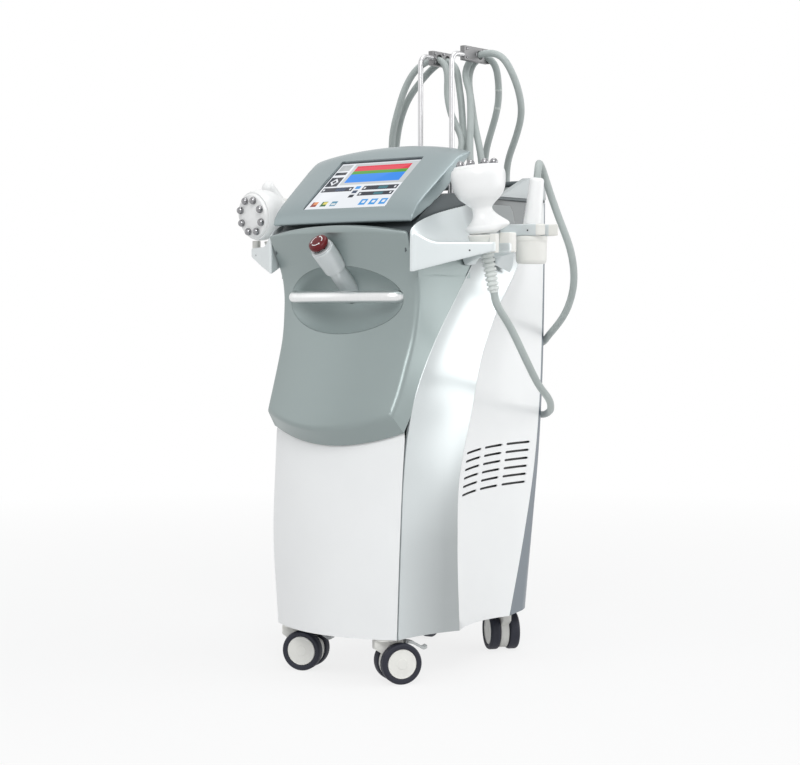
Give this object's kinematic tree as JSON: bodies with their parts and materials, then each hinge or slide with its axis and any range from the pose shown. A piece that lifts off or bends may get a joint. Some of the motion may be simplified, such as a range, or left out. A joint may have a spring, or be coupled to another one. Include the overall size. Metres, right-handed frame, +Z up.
{
  "type": "radio frequency body contouring machine",
  "caption": "Upright wheeled clinic machine with a tilted touch screen, side trays that hold corded handpieces, an overhead hose hanger and a stop knob.",
  "frame": {"origin": "bottom centre of the whole machine without its hoses, on the floor", "axes": "+Z up, the front with the screen and shield faces -Y, and +X is towards the side that shows in the picture"},
  "size_m": [0.6824, 0.622, 1.273],
  "materials": {
    "silver": "satin cool grey paint",
    "silver_shield": "satin cool grey paint",
    "white_shell": "smooth white shell",
    "grip_plastic": "smooth light grey",
    "stalk_steel": "satin turned metal",
    "stop_ring_grey": "dark collar",
    "stop_red": "glossy dark red",
    "deck_grey": "fine textured dark grey",
    "screen_glass": "lit screen behind smooth glass",
    "cream_plastic": "cream moulded plastic",
    "handpiece_shell": "near white moulded shell",
    "strain_relief_grey": "ribbed grey rubber",
    "hose_rubber": "soft grey green tube",
    "hanger_steel": "satin steel",
    "tyre": "navy black tread",
    "pedal_grey": "light grey pedal",
    "frame_steel": "grey painted steel",
    "module_metal": "plain folded case",
    "black_plastic": "black moulded plastic"
  },
  "bodies": {
    "machine": {"base_plate": "frame_steel", "chassis_frame": "frame_steel", "display_bracket": "deck_grey", "fan_frame": "black_plastic", "front_panel": "white_shell", "front_shield": "silver_shield", "grip_bar": "grip_plastic", "hand_dish": "silver_shield", "hose_manifold": "deck_grey", "left_big_hose": "hose_rubber", "left_cheek": "silver", "left_front_holder": "cream_plastic", "left_hose_clamp": "hanger_steel", "left_post": "hanger_steel", "left_side_band": "silver", "left_side_panel": "silver", "left_small_hose": "hose_rubber", "left_tray": "silver", "left_wand_socket": "cream_plastic", "power_inlet": "black_plastic", "push_bar": "deck_grey", "rear_panel": "silver", "rf_generator": "module_metal", "right_big_hose": "hose_rubber", "right_cheek": "silver", "right_front_holder": "cream_plastic", "right_hose_clamp": "hanger_steel", "right_post": "hanger_steel", "right_rear_cup": "cream_plastic", "right_side_band": "silver", "right_side_panel": "silver", "right_small_hose": "hose_rubber", "right_tray": "silver", "stop_ring": "stop_ring_grey", "stop_stalk": "stalk_steel", "top_deck": "deck_grey", "vacuum_pump": "module_metal"},
    "display": {"display_case": "silver", "touch_screen": "screen_glass"},
    "stop_head": {"stop_button": "stop_red"},
    "mains_rocker": {"mains_switch": "black_plastic"},
    "fan": {"fan_rotor": "black_plastic"},
    "right_big_handpiece": {"right_bowl_body": "handpiece_shell", "right_electrode_head": "handpiece_shell", "right_strain_relief": "strain_relief_grey"},
    "right_small_handpiece": {"right_small_handle": "handpiece_shell"},
    "left_big_handpiece": {"left_bowl_body": "handpiece_shell", "left_electrode_head": "handpiece_shell", "left_strain_relief": "strain_relief_grey"},
    "left_small_handpiece": {"left_small_wand": "handpiece_shell"},
    "front_right_swivel": {"front_right_yoke": "cream_plastic"},
    "front_right_roll": {"front_right_wheels": "tyre"},
    "front_right_pedal": {"front_right_brake_pedal": "pedal_grey"},
    "front_left_swivel": {"front_left_yoke": "cream_plastic"},
    "front_left_roll": {"front_left_wheels": "tyre"},
    "front_left_pedal": {"front_left_brake_pedal": "pedal_grey"},
    "rear_right_swivel": {"rear_right_yoke": "cream_plastic"},
    "rear_right_roll": {"rear_right_wheels": "tyre"},
    "rear_left_swivel": {"rear_left_yoke": "cream_plastic"},
    "rear_left_roll": {"rear_left_wheels": "tyre"}
  },
  "joints": [
    {"name": "display_tilt", "type": "hinge", "parent": "machine", "child": "display", "pos_m": [0, -0.048, 0.9767], "axis": [-1, 0, 0], "range_deg": [0, 12]},
    {"name": "front_right_caster_swivel", "type": "hinge", "parent": "machine", "child": "front_right_swivel", "pos_m": [0.118, -0.205, 0.088], "axis": [0, 0, 1], "continuous": true},
    {"name": "front_right_wheel_spin", "type": "hinge", "parent": "front_right_swivel", "child": "front_right_roll", "pos_m": [0.13227, -0.18327, 0.04], "axis": [-0.8358, 0.549, 0], "continuous": true},
    {"name": "front_right_brake_press", "type": "hinge", "parent": "front_right_swivel", "child": "front_right_pedal", "pos_m": [0.14106, -0.1699, 0.079], "axis": [-0.8358, 0.549, 0], "range_deg": [0, 10]},
    {"name": "front_left_caster_swivel", "type": "hinge", "parent": "machine", "child": "front_left_swivel", "pos_m": [-0.118, -0.205, 0.088], "axis": [0, 0, 1], "continuous": true},
    {"name": "front_left_wheel_spin", "type": "hinge", "parent": "front_left_swivel", "child": "front_left_roll", "pos_m": [-0.09368, -0.19581, 0.04], "axis": [-0.3535, 0.9354, 0], "continuous": true},
    {"name": "front_left_brake_press", "type": "hinge", "parent": "front_left_swivel", "child": "front_left_pedal", "pos_m": [-0.07871, -0.19015, 0.079], "axis": [-0.3535, 0.9354, 0], "range_deg": [0, 10]},
    {"name": "rear_right_caster_swivel", "type": "hinge", "parent": "machine", "child": "rear_right_swivel", "pos_m": [0.118, 0.195, 0.088], "axis": [0, 0, 1], "continuous": true},
    {"name": "rear_right_wheel_spin", "type": "hinge", "parent": "rear_right_swivel", "child": "rear_right_roll", "pos_m": [0.09791, 0.2115, 0.04], "axis": [-0.6347, -0.7727, 0], "continuous": true},
    {"name": "rear_left_caster_swivel", "type": "hinge", "parent": "machine", "child": "rear_left_swivel", "pos_m": [-0.118, 0.195, 0.088], "axis": [0, 0, 1], "continuous": true},
    {"name": "rear_left_wheel_spin", "type": "hinge", "parent": "rear_left_swivel", "child": "rear_left_roll", "pos_m": [-0.12429, 0.22023, 0.04], "axis": [-0.9703, -0.2419, 0], "continuous": true},
    {"name": "stop_press", "type": "slide", "parent": "machine", "child": "stop_head", "axis": [0, 0.7431, -0.6691], "range_m": [0, 0.004], "stiffness_N_per_m": 800, "springref_m": -0.001},
    {"name": "mains_rock", "type": "hinge", "parent": "machine", "child": "mains_rocker", "pos_m": [0, 0.263, 0.207], "axis": [1, 0, 0], "range_deg": [-10, 0]},
    {"name": "fan_spin", "type": "hinge", "parent": "machine", "child": "fan", "pos_m": [0, 0.2508, 0.33], "axis": [0, 1, 0], "continuous": true},
    {"name": "right_big_lift", "type": "slide", "parent": "machine", "child": "right_big_handpiece", "axis": [-0.1409, -0.1129, 0.9836], "range_m": [0, 0.04], "deforming": ["right_big_hose"]},
    {"name": "right_small_lift", "type": "slide", "parent": "machine", "child": "right_small_handpiece", "axis": [0.1219, 0, 0.9925], "range_m": [0, 0.04], "deforming": ["right_small_hose"]},
    {"name": "left_big_lift", "type": "slide", "parent": "machine", "child": "left_big_handpiece", "axis": [0.2496, 0, 0.9684], "range_m": [0, 0.03], "deforming": ["left_big_hose"]},
    {"name": "left_small_lift", "type": "slide", "parent": "machine", "child": "left_small_handpiece", "axis": [-0.08, -0.7026, 0.7071], "range_m": [0, 0.04], "deforming": ["left_small_hose"]}
  ]
}
